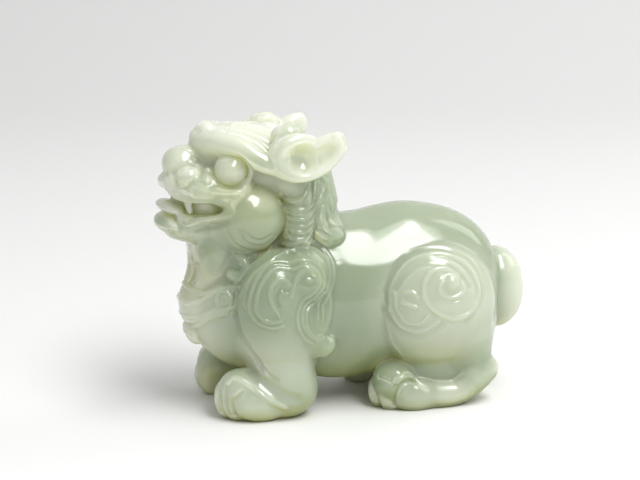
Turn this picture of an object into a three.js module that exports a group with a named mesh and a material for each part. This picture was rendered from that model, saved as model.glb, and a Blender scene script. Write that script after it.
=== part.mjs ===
// A tea pet carved from one pebble of pale jade: a crouching guardian beast with a round nose, bulging
// eyes, scooped ears, a curled mane and beard, a ribbon with a pendant on its chest, scrolled shoulders
// and haunches and a lobed tail. It is one solid piece of stone.
//
// The beast faces -Y, its left side is +X and it stands on z = 0. All sizes are in millimetres.
// The form is a field: a function that is negative inside the stone and positive outside. It is put
// together from soft blobs and ropes, cut open at the mouth and ears, turned into triangles on a grid,
// and thinned to the few thousand triangles that hold its shape. Only the left half is worked out,
// because the right half is its mirror image.

import * as THREE from 'three';

// Driving dimensions.
const sizes = {
  triangles: 9700, // in the finished skin
  gridStep: 0.65,
  soleHeight: 1.1, // how far the stone is ground off below, so that the four paws stand flat
  middleY: 2.1, // the middle of the beast's length, before it is centred on the origin
  level: 0.1, // a vertex lower than this is set on the ground
};

// The box that holds the left half before it is ground flat and centred.
const halfBox = new THREE.Box3(new THREE.Vector3(0, -47, -0.5), new THREE.Vector3(24, 52, 74));

const radians = THREE.MathUtils.degToRad;

// An ellipsoid, turned by degrees about x, y and z.
function egg(centre, radii, turn = [0, 0, 0]) {
  const m = new THREE.Matrix4()
    .makeRotationFromEuler(new THREE.Euler(...turn.map(radians)))
    .transpose().elements;
  const [cx, cy, cz] = centre;
  const [rx, ry, rz] = radii;
  const distance = (x, y, z) => {
    const dx = x - cx;
    const dy = y - cy;
    const dz = z - cz;
    const u = (m[0] * dx + m[4] * dy + m[8] * dz) / rx;
    const v = (m[1] * dx + m[5] * dy + m[9] * dz) / ry;
    const w = (m[2] * dx + m[6] * dy + m[10] * dz) / rz;
    const near = Math.hypot(u, v, w);
    const slope = Math.hypot(u / rx, v / ry, w / rz);
    return near < 1e-6 ? -Math.min(rx, ry, rz) : (near * (near - 1)) / slope;
  };
  return { distance, centre, reach: Math.max(rx, ry, rz) };
}

// A round bar that tapers from radius ra at a to radius rb at b.
function bar(a, b, ra, rb) {
  const [ax, ay, az] = a;
  const bx = b[0] - ax;
  const by = b[1] - ay;
  const bz = b[2] - az;
  const squared = bx * bx + by * by + bz * bz;
  const distance = (x, y, z) => {
    const px = x - ax;
    const py = y - ay;
    const pz = z - az;
    const t = Math.min(1, Math.max(0, (px * bx + py * by + pz * bz) / squared));
    return Math.hypot(px - t * bx, py - t * by, pz - t * bz) - (ra + (rb - ra) * t);
  };
  const centre = [ax + bx / 2, ay + by / 2, az + bz / 2];
  return { distance, centre, reach: Math.sqrt(squared) / 2 + Math.max(ra, rb) };
}

// A rope along a smooth curve through the points, with its radius at even steps along the curve.
function rope(points, radii, parts = 4 * (points.length - 1)) {
  const corners = points.map((p) => new THREE.Vector3(...p));
  const curve = new THREE.CatmullRomCurve3(corners, false, 'centripetal');
  const radiusAt = (t) => {
    const s = t * (radii.length - 1);
    const i = Math.min(Math.floor(s), radii.length - 2);
    return radii[i] + (radii[i + 1] - radii[i]) * (s - i);
  };
  const bars = [];
  for (let i = 0; i < parts; i++) {
    const [from, to] = [i / parts, (i + 1) / parts];
    const [a, b] = [curve.getPoint(from).toArray(), curve.getPoint(to).toArray()];
    bars.push(bar(a, b, radiusAt(from), radiusAt(to)));
  }
  const distance = (x, y, z) => {
    let least = Infinity;
    for (const part of bars) least = Math.min(least, part.distance(x, y, z));
    return least;
  };
  const sphere = new THREE.Box3().setFromPoints(curve.getPoints(parts)).getBoundingSphere(new THREE.Sphere());
  return { distance, centre: sphere.center.toArray(), reach: sphere.radius + Math.max(...radii) };
}

// A form is a list of shapes that are added or cut in turn, each with its own softness of join.
class Form {
  steps = [];

  add(shape, soft) {
    this.steps.push({ shape, soft, sign: 1 });
  }

  cut(shape, soft) {
    this.steps.push({ shape, soft, sign: -1 });
  }

  // Softly joined or cut distances. A shape too far away to matter is skipped.
  distance(x, y, z) {
    let d = 1e3;
    for (const { shape, soft, sign } of this.steps) {
      const [cx, cy, cz] = shape.centre;
      const atLeast = Math.hypot(x - cx, y - cy, z - cz) - shape.reach;
      if (atLeast > soft + sign * d) continue;
      const e = shape.distance(x, y, z);
      const a = sign * d;
      const blend = Math.max(soft - Math.abs(a - e), 0);
      d = sign * (Math.min(a, e) - (blend * blend) / (4 * soft));
    }
    return d;
  }

  // The slope of the field, which points out of the stone.
  slope(x, y, z) {
    const h = 0.05;
    return new THREE.Vector3(
      this.distance(x + h, y, z) - this.distance(x - h, y, z),
      this.distance(x, y + h, z) - this.distance(x, y - h, z),
      this.distance(x, y, z + h) - this.distance(x, y, z - h),
    ).divideScalar(2 * h);
  }

  // The place on the surface that a point beside it falls on.
  onSurface(point) {
    const p = new THREE.Vector3(...point);
    for (let i = 0; i < 5; i++) {
      const n = this.slope(p.x, p.y, p.z);
      p.addScaledVector(n, -this.distance(p.x, p.y, p.z) / n.lengthSq());
    }
    return p.toArray();
  }

  // Raises the surface by an even height inside a region.
  raise(region, height) {
    const below = new Form();
    below.steps = [...this.steps];
    const distance = (x, y, z) => Math.max(below.distance(x, y, z) - height, region.distance(x, y, z));
    this.add({ ...region, distance }, 0.4);
  }

  // A raised cord that runs over the surface below the points.
  addCord(points, radius, soft = 0.4) {
    const laid = points.map((p) => this.onSurface(p));
    this.add(rope(laid, [radius, radius], 3 * points.length), soft);
  }
}

const beast = new Form();

// The body: a round rump and back, a low belly, a full chest and a solid throat.
function carveBody() {
  beast.add(egg([0, 17, 28.2], [17, 23.5, 20.9]), 1);
  beast.add(egg([5.5, 28.5, 20.5], [11, 11, 10.6]), 3);
  beast.add(egg([0, 27, 30.5], [15.5, 13.2, 14.5]), 5);
  beast.add(egg([0, -1, 25.5], [16, 19, 19.3]), 8);
  beast.add(egg([0, -4, 34], [12, 14, 12]), 5);
  beast.add(egg([0, -18.5, 26.8], [16, 18.8, 17.6]), 6);
  beast.add(egg([0, -27, 43.5], [6.5, 8.5, 8]), 2);
}

// The haunch lies on the flank as a raised round, with a long foot tucked under it, whose heel sticks
// out behind and whose four toes lie side by side in front.
function carveHindLeg() {
  beast.add(egg([12.5, 21, 25.8], [9.8, 15.6, 15.4]), 1);
  beast.add(egg([11.4, 22.5, 10.2], [5.5, 10.5, 6]), 2);
  const foot = [[14.6, 13, 5], [15.6, 20, 4.1], [15.8, 25.5, 4.2], [15, 30, 6.6], [13.8, 34.4, 8.8],
    [13.2, 36.8, 9.6]];
  beast.add(rope(foot, [4.4, 3.5, 3.2, 3.8, 3, 1.2]), 1);
  beast.add(bar([14, 31, 9.6], [12.6, 29.4, 16], 4.4, 7), 2.5);
  beast.add(egg([13.4, 10.8, 7.6], [5.6, 5.4, 5.2]), 1);
  beast.add(egg([9.8, 9.2, 4.8], [2.2, 3.8, 4.6]), 0.4);
  beast.add(egg([12.2, 8.8, 5], [2.4, 4.1, 4.8]), 0.4);
  beast.add(egg([14.7, 10.2, 5], [2.6, 3.9, 4.8]), 0.4);
  beast.add(egg([16.5, 15.6, 4.3], [3, 6, 4.1]), 0.6);
}

// The shoulder has two lobes, like a kidney. The leg has a spur behind the elbow and four toes.
function carveForeleg() {
  beast.add(egg([9.5, -18.6, 31], [9.6, 10.3, 11]), 1);
  beast.add(egg([10.2, -11.6, 35], [8.6, 7, 7.4]), 1.5);
  beast.add(bar([10.8, -20, 26], [12.6, -15.4, 8.2], 7.9, 7.1), 3);
  beast.add(egg([12.4, -14.4, 22], [6, 8, 8]), 4);
  beast.add(rope([[14, -12, 22], [15.4, -9.6, 20], [16, -7.9, 19]], [4.4, 3.4, 2.8]), 1.2);
  beast.add(bar([12.3, -17.5, 6.9], [12, -26.6, 7.1], 6, 5.4), 2);
  beast.add(egg([12, -27.2, 8.2], [5.4, 5.2, 4.9]), 1);
  beast.add(egg([14.6, -21.6, 13.2], [2.8, 2, 2.8]), 1);
  beast.add(egg([9, -29.2, 5.8], [2.2, 3.7, 4.9]), 0.4);
  beast.add(egg([11.4, -29.3, 5.9], [2.4, 4, 5]), 0.4);
  beast.add(egg([13.6, -27.9, 5.8], [2.6, 4.1, 4.8]), 0.4);
  beast.add(egg([15.2, -22.6, 5.2], [3.6, 7.3, 4.3]), 0.8);
}

// The tail is a broad lobe that stands against the rump.
function carveTail() {
  beast.add(egg([0, 41.6, 26.2], [8, 7.2, 10.2]), 0.8);
  beast.add(egg([3.6, 41.4, 25], [4.2, 6, 8.6], [0, 10, 0]), 0.8);
}

// The mane falls down the back in a broad lock with three narrower ones beside it, and in a column of
// small waves behind each cheek.
function carveMane() {
  beast.add(egg([0, -11, 50], [13, 10, 13]), 3);
  beast.add(egg([11.4, -14.6, 57.4], [2.8, 4, 3.4]), 0.5);
  beast.add(rope([[0, -6.5, 60], [0, -5.4, 53], [0, -4, 46.2]], [4, 4.4, 4.6]), 1);
  beast.add(rope([[11, -13, 56], [11.2, -12.6, 49], [11.2, -12.8, 43.4]], [3.4, 3.6, 3.2]), 1);
  const innerLock = [[1.5, -6, 58.5], [3.2, -4.4, 54], [3.8, -4.3, 50], [4.6, -3, 46.8], [5.8, -2, 44.6]];
  beast.add(rope(innerLock, [1.8, 2.1, 2.2, 2.2, 2.1]), 0.4);
  const middleLock = [[5.6, -7, 58.5], [7, -5.8, 53], [7.6, -5.5, 49], [8, -3.8, 45.6], [8.2, -3.2, 43.6]];
  beast.add(rope(middleLock, [2, 2.2, 2.3, 2.3, 2.4]), 0.4);
  const outerLock = [[9.4, -9, 57.5], [10.4, -8, 52], [10.8, -7.9, 48], [10.6, -6.6, 44.8], [9.8, -5, 43]];
  beast.add(rope(outerLock, [2, 2.1, 2.2, 2.2, 2.3]), 0.4);
  beast.add(egg([8.6, -4.4, 43.2], [3.6, 3.9, 3.2]), 0.4);
  for (const z of [53.3, 51, 48.8, 46.2, 44]) {
    beast.addCord(sideLine([[-16.6, z + 1], [-14.8, z], [-12.4, z - 0.2], [-10.2, z + 0.8]]), 0.6);
  }
}

// The skull, the cheeks and the two jaws.
function carveSkull() {
  beast.add(egg([0, -19.5, 60], [13, 13.5, 9.6]), 2);
  beast.add(egg([0, -24.5, 62.5], [12.5, 10.4, 7]), 2);
  beast.add(egg([0, -28.2, 65.4], [10.3, 6.2, 4.2]), 2);
  beast.add(egg([8.8, -24.1, 49.4], [8.4, 8.6, 8.7]), 1);
  beast.add(egg([0, -33.2, 57.9], [11.3, 8.4, 4.5]), 1.5);
  beast.add(bar([7.4, -27.5, 48], [5.2, -36.4, 47.4], 6.4, 4.4), 2.5);
  beast.add(egg([0, -38.6, 46.8], [8.2, 4.6, 4]), 1.5);
  beast.add(egg([0, -41.2, 47.3], [7.8, 3.5, 2.4]), 0.5);
}

// The mouth is a slot on each side of the tongue, with a lip round it and a fang that hangs in front.
function carveMouth() {
  beast.cut(egg([8.6, -36.6, 52], [7, 5.4, 1.9]), 0.5);
  beast.cut(egg([12, -32.8, 52], [4, 2.2, 1.6]), 0.5);
  beast.add(bar([0, -30, 51.6], [0, -38.4, 52], 3.4, 2.6), 0.4);
  beast.add(egg([4, -32.6, 52], [6.2, 5.2, 3.4]), 0.6);
  beast.add(egg([0, -40.9, 50.9], [7.4, 3.3, 1.5], [-12, 0, 0]), 0.3);
  const lips = [[0, -40.9, 57], [4, -41.2, 56.6], [7.4, -40.2, 55.3], [10, -37.8, 54.9], [12, -34.6, 54.8],
    [13.5, -31.4, 54.4], [14.2, -29.9, 52.8], [13.7, -31, 50.9], [12.5, -33.2, 50], [10.9, -35.8, 49.5],
    [9, -38.3, 48.7], [7.3, -40, 49.7]];
  beast.add(rope(lips, [2, 1.9, 1.6, 1.3, 1.1, 0.9, 0.7, 0.6, 0.55, 0.55, 0.6, 0.8]), 1.2);
  beast.add(rope([[8.6, -38.8, 55], [8.5, -38.5, 53], [8.4, -38, 51.2]], [1, 0.8, 0.7]), 0.3);
}

// The round nose with a nostril at each side.
function carveNose() {
  beast.add(bar([0, -30, 62], [0, -37, 61.4], 4.2, 3.7), 1.5);
  beast.add(egg([0, -38.4, 61.1], [4.8, 4.3, 4.2]), 1);
  beast.cut(egg([9.6, -34.6, 62.6], [3.4, 3.4, 2.9]), 1.2);
  beast.add(egg([7.6, -33.2, 55.8], [4.8, 6, 2.7]), 2);
  beast.add(egg([11.3, -28.4, 55.2], [4, 5, 3.4]), 1.5);
  beast.add(egg([7, -37.8, 59.1], [3, 3.1, 2.5]), 0.3);
  beast.add(egg([8.3, -39.2, 57.9], [1.4, 1.5, 1.3]), 0.15);
}

// The heavy brow, the eye in its socket with a lid round it, a knob on the forehead, a horn in front of
// the ear, and hair that is swept back over the crown.
function carveBrow() {
  const brow = [[1.6, -33.6, 66.4], [4, -32.8, 66.6], [8, -30.6, 66.9], [12, -27.4, 66.2],
    [14.6, -24.6, 64.4], [16, -21.6, 62.8], [16.4, -18.5, 61.4]];
  beast.add(rope(brow, [2, 2.4, 2.6, 2.5, 2.4, 2.3, 1.8]), 2);
  beast.cut(egg([14.7, -29.7, 60.8], [3.7, 5, 4.4]), 1);
  beast.add(egg([10.7, -28.5, 60.9], [3.9, 4, 4]), 0.15);
  const lid = [[8, -33.6, 60.6], [9.3, -32.6, 58.6], [10.6, -31.2, 57.2], [12, -29.2, 56.7],
    [13.2, -26.9, 57.3], [13.8, -25, 59.2], [14, -24.6, 61.4], [13.6, -25.2, 63.2]];
  beast.add(rope(lid, [0.7, 0.6, 0.6, 0.6, 0.6, 0.6, 0.5, 0.5]), 0.7);
  beast.add(egg([1.9, -32.1, 68.9], [2.2, 2, 1.9]), 0.5);
  beast.add(egg([11, -15, 68], [2.8, 3.6, 3.1]), 0.5);
  for (let i = 0; i < 4; i++) {
    const x = 0.8 + 2.6 * i;
    beast.addCord([[x, -26 - 0.8 * i, 71], [x + 2, -21.8 - 0.8 * i, 71], [x + 4, -18 - 0.6 * i, 70]], 0.5);
  }
}

// The ear is a scooped bowl with a thick rim, which runs out into a leaf behind.
function carveEar() {
  beast.add(egg([14.6, -14.8, 64], [4, 5.6, 5.2]), 1);
  beast.add(egg([16.6, -8.2, 64.4], [2.1, 6.6, 3.9], [41, 0, 0]), 1);
  const rim = [[16.6, -10.9, 67.7], [17.1, -14, 68.1], [17, -17.4, 66.9], [16.7, -19.1, 64.4],
    [16.9, -18.3, 61.8], [17.3, -15.2, 60.1], [17.6, -11.6, 60.1], [17.9, -8.4, 61.5], [18, -5.6, 64],
    [17.8, -4.1, 66.6], [17.4, -4.7, 68.2]];
  beast.add(rope(rim, [1.4, 1.6, 2.1, 2.3, 2.2, 1.8, 1.5, 1.5, 1.5, 1.6, 1.6]), 0.5);
  beast.cut(egg([20, -12.9, 63.9], [4.2, 4, 3.8]), 0.6);
  beast.cut(egg([20.4, -8.6, 64.7], [3.3, 4.2, 2.6], [41, 0, 0]), 0.6);
}

// The beard hangs as one smooth mass from the jaw, beside a comma-shaped curl.
function carveBeard() {
  beast.add(rope([[0, -31.6, 43.5], [0, -33.4, 38.5], [0, -35.7, 32.8]], [3.2, 3, 2.1]), 2);
  beast.add(egg([4.6, -31.7, 40.2], [6.2, 4.4, 5.4]), 1.6);
  beast.add(rope([[6.6, -32, 38], [5.8, -33.6, 34.6], [4.4, -35, 32.4]], [3, 2.3, 1.5]), 1.6);
  beast.add(egg([9, -25.6, 38], [4.2, 4, 5.4]), 2);
  const comma = [[10.8, -27.6, 41], [11.8, -25.7, 39.9], [12.1, -24.8, 37.9], [11.8, -25.4, 36],
    [11.2, -27, 34.8], [10.6, -28.6, 35], [10.5, -29, 36]];
  beast.add(rope(comma, [0.9, 1.3, 1.4, 1.3, 1.2, 1.1, 1.1]), 0.4);
}

// A ribbon crosses the chest from a rosette at each side to a knot at the front, where a pendant hangs.
function carveRibbon() {
  const middle = [[0, -38.5, 26.8], [5, -37, 26.9], [8, -35, 27.6], [10.4, -31.8, 29.6]];
  beast.raise(rope(middle, [4.8, 4.2, 3.8, 3.9]), 0.5);
  beast.add(egg([0, -35.7, 27.3], [7, 3.5, 5.2]), 1.2);
  beast.add(egg([0, -35.8, 19.8], [3.4, 2, 3.2], [25, 0, 0]), 0.8);
  const edge = [[0, -39, 32.2], [4.8, -38, 31.2], [8.4, -36, 31], [10.4, -33, 32.2], [13, -29, 33.3]];
  beast.addCord(edge, 0.5);
  beast.addCord([[0, -39, 29], [4, -38, 28], [8.6, -36, 30.5], [10.4, -33, 32.3]], 0.5);
  beast.add(egg([11, -31, 30.2], [1.7, 1.7, 1.9]), 0.3);
}

// A coil on the side of the beast: its radius at each eighth of a turn, winding in from a start angle.
function coil([y, z], startAngle, radii) {
  return radii.map((radius, i) => {
    const angle = radians(startAngle - 45 * i);
    return [20, y + radius * Math.cos(angle), z + radius * Math.sin(angle)];
  });
}

// A line on the side of the beast, given as seen from its left.
const sideLine = (points) => points.map(([y, z]) => [20, y, z]);

// Raised cords curl over each haunch and each shoulder.
function carveScrolls() {
  const haunch = [15.5, 10.9, 7.3, 6.1, 6.7, 8.1, 8.4, 7.4, 7.2, 6.1, 4.2, 3, 3, 3.3, 3.2];
  beast.addCord(coil([22.2, 32.6], 202, haunch), 0.75);
  beast.add(egg([20.2, 22.4, 32.7], [2.5, 2.5, 2.5]), 0.3);
  const shoulder = [[-19.1, 25.7], [-21.5, 25.3], [-24, 26.4], [-25.4, 29], [-25, 33], [-22.7, 37],
    [-19.9, 39], [-16, 38.7], [-13.1, 39.3], [-10.6, 38.6], [-8.9, 36.5], [-8.9, 34.1], [-10.4, 31.8],
    [-12.9, 30.2], [-14.5, 27.5], [-14.2, 24.4], [-12.6, 21.8]];
  beast.addCord(sideLine(shoulder), 0.75);
  beast.addCord(sideLine([[-16.9, 34.8], [-18.3, 36], [-20.1, 35.7], [-21.6, 33.6], [-21.3, 30.6]]), 0.6);
}

carveBody();
carveHindLeg();
carveForeleg();
carveTail();
carveMane();
carveSkull();
carveMouth();
carveNose();
carveBrow();
carveEar();
carveBeard();
carveRibbon();
carveScrolls();

const field = (x, y, z) => Math.max(beast.distance(x, y, z), sizes.soleHeight - z);

// Samples the field on a grid over the box and returns the skin as triangles. Each cube is split into
// six tetrahedra, which leaves no gaps between neighbours.
function polygonise(box, step) {
  const counts = box.getSize(new THREE.Vector3()).divideScalar(step).ceil().addScalar(1).toArray();
  const [nx, ny, nz] = counts;
  const { x: x0, y: y0, z: z0 } = box.min;
  const values = new Float32Array(nx * ny * nz);
  const index = (i, j, k) => (k * ny + j) * nx + i;
  for (let k = 0; k < nz; k++) {
    for (let j = 0; j < ny; j++) {
      for (let i = 0; i < nx; i++) {
        const d = field(x0 + i * step, y0 + j * step, z0 + k * step);
        values[index(i, j, k)] = Math.abs(d) < 1e-3 ? 1e-3 : d; // never exactly on a grid point
      }
    }
  }
  const corners = [[0, 0, 0], [1, 0, 0], [0, 1, 0], [1, 1, 0], [0, 0, 1], [1, 0, 1], [0, 1, 1], [1, 1, 1]];
  const offsets = corners.map(([i, j, k]) => index(i, j, k));
  const ring = [[1, 3], [3, 2], [2, 6], [6, 4], [4, 5], [5, 1]]; // the tetrahedra around the diagonal 0 to 7
  const positions = [];
  const triangles = [];
  const made = new Map();
  const nearEnd = 0.08; // vertices keep this share of a grid edge away from its ends, against slivers
  const vertexOn = (a, b) => {
    const key = Math.min(a, b) * values.length + Math.max(a, b);
    if (!made.has(key)) {
      const t = THREE.MathUtils.clamp(values[a] / (values[a] - values[b]), nearEnd, 1 - nearEnd);
      const place = (n) => [n % nx, Math.floor(n / nx) % ny, Math.floor(n / (nx * ny))];
      const [pa, pb] = [place(a), place(b)];
      made.set(key, positions.length / 3);
      positions.push(...[x0, y0, z0].map((o, n) => o + step * (pa[n] + t * (pb[n] - pa[n]))));
    }
    return made.get(key);
  };
  const emit = (ids) => {
    const inside = ids.filter((n) => values[n] < 0);
    const outside = ids.filter((n) => values[n] >= 0);
    if (!inside.length || !outside.length) return;
    // An even permutation of the corners keeps the faces pointing out.
    const order = [...inside, ...outside].map((n) => ids.indexOf(n));
    let odd = 0;
    for (let i = 0; i < 4; i++) for (let j = i + 1; j < 4; j++) odd ^= order[i] > order[j];
    const face = (a, b, c) => (odd ? triangles.push(a, c, b) : triangles.push(a, b, c));
    if (inside.length === 1) {
      face(...outside.map((n) => vertexOn(inside[0], n)));
    } else if (inside.length === 3) {
      face(...inside.map((n) => vertexOn(n, outside[0])));
    } else {
      const [a, b] = inside;
      const [c, d] = outside;
      face(vertexOn(a, c), vertexOn(a, d), vertexOn(b, c));
      face(vertexOn(b, c), vertexOn(a, d), vertexOn(b, d));
    }
  };
  for (let k = 0; k < nz - 1; k++) {
    for (let j = 0; j < ny - 1; j++) {
      for (let i = 0; i < nx - 1; i++) {
        const base = index(i, j, k);
        const first = values[base] < 0;
        if (offsets.every((o) => values[base + o] < 0 === first)) continue;
        for (const [p, q] of ring) emit([base, base + offsets[p], base + offsets[q], base + offsets[7]]);
      }
    }
  }
  return { positions, triangles };
}

// A heap that gives back the cheapest entry first.
class Heap {
  entries = [];

  push(entry) {
    const list = this.entries;
    let i = list.length;
    list.push(entry);
    while (i > 0) {
      const parent = (i - 1) >> 1;
      if (list[parent].cost <= entry.cost) break;
      list[i] = list[parent];
      i = parent;
    }
    list[i] = entry;
  }

  pop() {
    const list = this.entries;
    const top = list[0];
    const last = list.pop();
    if (!list.length) return top;
    let i = 0;
    for (;;) {
      let child = 2 * i + 1;
      if (child >= list.length) break;
      if (child + 1 < list.length && list[child + 1].cost < list[child].cost) child++;
      if (list[child].cost >= last.cost) break;
      list[i] = list[child];
      i = child;
    }
    list[i] = last;
    return top;
  }
}

// Thins the half skin to a number of triangles. The edge whose loss changes the shape least is drawn
// together to one point, again and again. Each vertex sums up the planes that have met in it, as a
// quadric of ten numbers. Vertices on the mirror plane x = 0 stay on it.
function thin({ positions, triangles }, target) {
  const count = positions.length / 3;
  const place = Float64Array.from(positions);
  const corner = Int32Array.from(triangles);
  const around = Array.from({ length: count }, () => new Set());
  const quadric = new Float64Array(count * 10);
  const version = new Int32Array(count);
  const onMirror = (v) => place[3 * v] < 1e-6;
  const at = (v) => [place[3 * v], place[3 * v + 1], place[3 * v + 2]];

  const cross = (a, b, c) => {
    const [ux, uy, uz] = [b[0] - a[0], b[1] - a[1], b[2] - a[2]];
    const [vx, vy, vz] = [c[0] - a[0], c[1] - a[1], c[2] - a[2]];
    return [uy * vz - uz * vy, uz * vx - ux * vz, ux * vy - uy * vx];
  };

  for (let f = 0; f < corner.length / 3; f++) {
    const ids = [corner[3 * f], corner[3 * f + 1], corner[3 * f + 2]];
    const n = cross(...ids.map(at));
    const area = Math.hypot(...n) || 1e-12;
    const [a, b, c] = n.map((v) => v / area);
    const [px, py, pz] = at(ids[0]);
    const d = -(a * px + b * py + c * pz);
    const terms = [a * a, a * b, a * c, a * d, b * b, b * c, b * d, c * c, c * d, d * d];
    for (const v of ids) {
      around[v].add(f);
      terms.forEach((term, i) => {
        quadric[10 * v + i] += term * area;
      });
    }
  }

  const neighbours = (v) => {
    const ids = new Set();
    for (const f of around[v]) for (let i = 0; i < 3; i++) ids.add(corner[3 * f + i]);
    ids.delete(v);
    return ids;
  };

  const evenness = 2e-4; // a small dislike of long edges, which keeps flat places in even triangles
  const thinnest = 0.05; // double area over longest side squared, below which a triangle may not get worse
  const tilt = 0.3; // the least cosine between a triangle's old and new direction
  const entryFor = (u, v) => {
    const q = new Float64Array(10);
    for (let i = 0; i < 10; i++) q[i] = quadric[10 * u + i] + quadric[10 * v + i];
    const [pu, pv] = [at(u), at(v)];
    const flat = onMirror(u) || onMirror(v);
    const price = ([x, y, z]) => x * (q[0] * x + 2 * (q[1] * y + q[2] * z + q[3]))
      + y * (q[4] * y + 2 * (q[5] * z + q[6])) + z * (q[7] * z + 2 * q[8]) + q[9];
    const middle = pu.map((c, i) => (c + pv[i]) / 2);
    if (flat) middle[0] = 0;
    const choices = [middle];
    if (!flat || onMirror(u)) choices.push(pu);
    if (!flat || onMirror(v)) choices.push(pv);
    if (flat) {
      const det = q[4] * q[7] - q[5] * q[5];
      if (det > 1e-6 * q[4] * q[7]) {
        choices.push([0, (q[5] * q[8] - q[7] * q[6]) / det, (q[5] * q[6] - q[4] * q[8]) / det]);
      }
    } else {
      const m00 = q[4] * q[7] - q[5] * q[5];
      const m01 = q[2] * q[5] - q[1] * q[7];
      const m02 = q[1] * q[5] - q[2] * q[4];
      const det = q[0] * m00 + q[1] * m01 + q[2] * m02;
      if (det > 1e-6 * q[0] * q[4] * q[7]) {
        const m11 = q[0] * q[7] - q[2] * q[2];
        const m12 = q[1] * q[2] - q[0] * q[5];
        const m22 = q[0] * q[4] - q[1] * q[1];
        const solve = (a, b, c) => -(a * q[3] + b * q[6] + c * q[8]) / det;
        choices.push([solve(m00, m01, m02), solve(m01, m11, m12), solve(m02, m12, m22)]);
      }
    }
    const length = Math.hypot(pu[0] - pv[0], pu[1] - pv[1], pu[2] - pv[2]);
    let best = null;
    for (const p of choices) {
      if (Math.hypot(p[0] - middle[0], p[1] - middle[1], p[2] - middle[2]) > 2 * length) continue;
      const cost = price(p) + evenness * length * length * length;
      if (!best || cost < best.cost) best = { cost, p };
    }
    return { u, v, cost: best.cost, p: best.p, stamp: version[u] + version[v] };
  };

  const heap = new Heap();
  for (let v = 0; v < count; v++) for (const w of neighbours(v)) if (w > v) heap.push(entryFor(v, w));

  // The longest side of a triangle, squared.
  const squaredLength = (points) => Math.max(...points.map((a, i) => {
    const b = points[(i + 1) % 3];
    return (a[0] - b[0]) ** 2 + (a[1] - b[1]) ** 2 + (a[2] - b[2]) ** 2;
  }));

  // Whether the edge can be drawn together and leave one clean skin.
  const allowed = ({ u, v, p }) => {
    const [aroundU, aroundV] = [neighbours(u), neighbours(v)];
    const common = [...aroundU].filter((w) => aroundV.has(w));
    const shared = [...around[u]].filter((f) => around[v].has(f));
    if (common.length !== shared.length) return false;
    const [mirrorU, mirrorV] = [onMirror(u), onMirror(v)];
    if (mirrorU && mirrorV && (shared.length !== 1 || onMirror(common[0]))) return false;
    if (mirrorU !== mirrorV) {
      const [inner, outer] = mirrorU ? [v, u] : [u, v];
      for (const w of neighbours(inner)) {
        if (w === outer || !onMirror(w)) continue;
        const borders = [...around[outer]].filter((f) => around[w].has(f)).length;
        if (borders !== 1) return false;
      }
    }
    for (const v0 of [u, v]) {
      for (const f of around[v0]) {
        if (shared.includes(f)) continue;
        const before = [0, 1, 2].map((i) => at(corner[3 * f + i]));
        const after = [0, 1, 2].map((i) => (corner[3 * f + i] === v0 ? p : before[i]));
        const [n0, n1] = [cross(...before), cross(...after)];
        const [l0, l1] = [Math.hypot(...n0), Math.hypot(...n1)];
        const [q0, q1] = [l0 / squaredLength(before), l1 / squaredLength(after)];
        if (q1 < thinnest && q1 < q0) return false;
        if (n0[0] * n1[0] + n0[1] * n1[1] + n0[2] * n1[2] < tilt * l0 * l1) return false;
      }
    }
    return true;
  };

  // An edge that has to wait is tried again once the rest of the skin has changed.
  let alive = corner.length / 3;
  let waiting = [];
  let aliveBefore = Infinity;
  while (alive > target) {
    if (!heap.entries.length) {
      if (alive === aliveBefore) break;
      aliveBefore = alive;
      for (const { u, v } of waiting) if (neighbours(u).has(v)) heap.push(entryFor(u, v));
      waiting = [];
      continue;
    }
    const entry = heap.pop();
    const { u, v, p } = entry;
    if (!around[u].size || !around[v].size || entry.stamp !== version[u] + version[v]) continue;
    if (!allowed(entry)) {
      waiting.push(entry);
      continue;
    }
    p.forEach((c, i) => {
      place[3 * u + i] = c;
    });
    for (let i = 0; i < 10; i++) quadric[10 * u + i] += quadric[10 * v + i];
    for (const f of [...around[v]]) {
      if (around[u].has(f)) {
        for (let i = 0; i < 3; i++) around[corner[3 * f + i]].delete(f);
        alive--;
      } else {
        for (let i = 0; i < 3; i++) if (corner[3 * f + i] === v) corner[3 * f + i] = u;
        around[u].add(f);
      }
    }
    around[v].clear();
    version[u] += 1;
    version[v] += 1;
    for (const w of neighbours(u)) heap.push(entryFor(u, w));
  }

  const kept = [];
  for (let f = 0; f < corner.length / 3; f++) {
    const ids = [corner[3 * f], corner[3 * f + 1], corner[3 * f + 2]];
    if (ids.every((v) => around[v].has(f))) kept.push(...ids);
  }
  return { place, kept };
}

// Joins the half skin to its mirror image, grinds the soles level and centres the beast.
function wholeSkin({ place, kept }) {
  const positions = [];
  const left = new Map();
  const right = new Map();
  const add = (x, y, z) => positions.push(x, y, z) / 3 - 1;
  for (const v of kept) {
    if (left.has(v)) continue;
    const [x, y, z] = [place[3 * v], place[3 * v + 1] - sizes.middleY, place[3 * v + 2] - sizes.soleHeight];
    const level = z < sizes.level ? 0 : z;
    left.set(v, add(x, y, level));
    right.set(v, x < 1e-6 ? left.get(v) : add(-x, y, level));
  }
  const index = [];
  for (let i = 0; i < kept.length; i += 3) {
    const [a, b, c] = kept.slice(i, i + 3);
    index.push(left.get(a), left.get(b), left.get(c), right.get(a), right.get(c), right.get(b));
  }
  const geometry = new THREE.BufferGeometry();
  geometry.setAttribute('position', new THREE.Float32BufferAttribute(positions, 3));
  geometry.setIndex(index);
  geometry.computeVertexNormals();
  return geometry;
}

const halfSkin = polygonise(halfBox, sizes.gridStep);
const geometry = wholeSkin(thin(halfSkin, sizes.triangles / 2));

const jade = new THREE.MeshStandardMaterial({ color: 0xc3cdb4, roughness: 0.18, metalness: 0 });
const teaPet = new THREE.Mesh(geometry, jade);
teaPet.name = 'tea_pet';

const model = new THREE.Group();
model.add(teaPet);
export default model;
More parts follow.
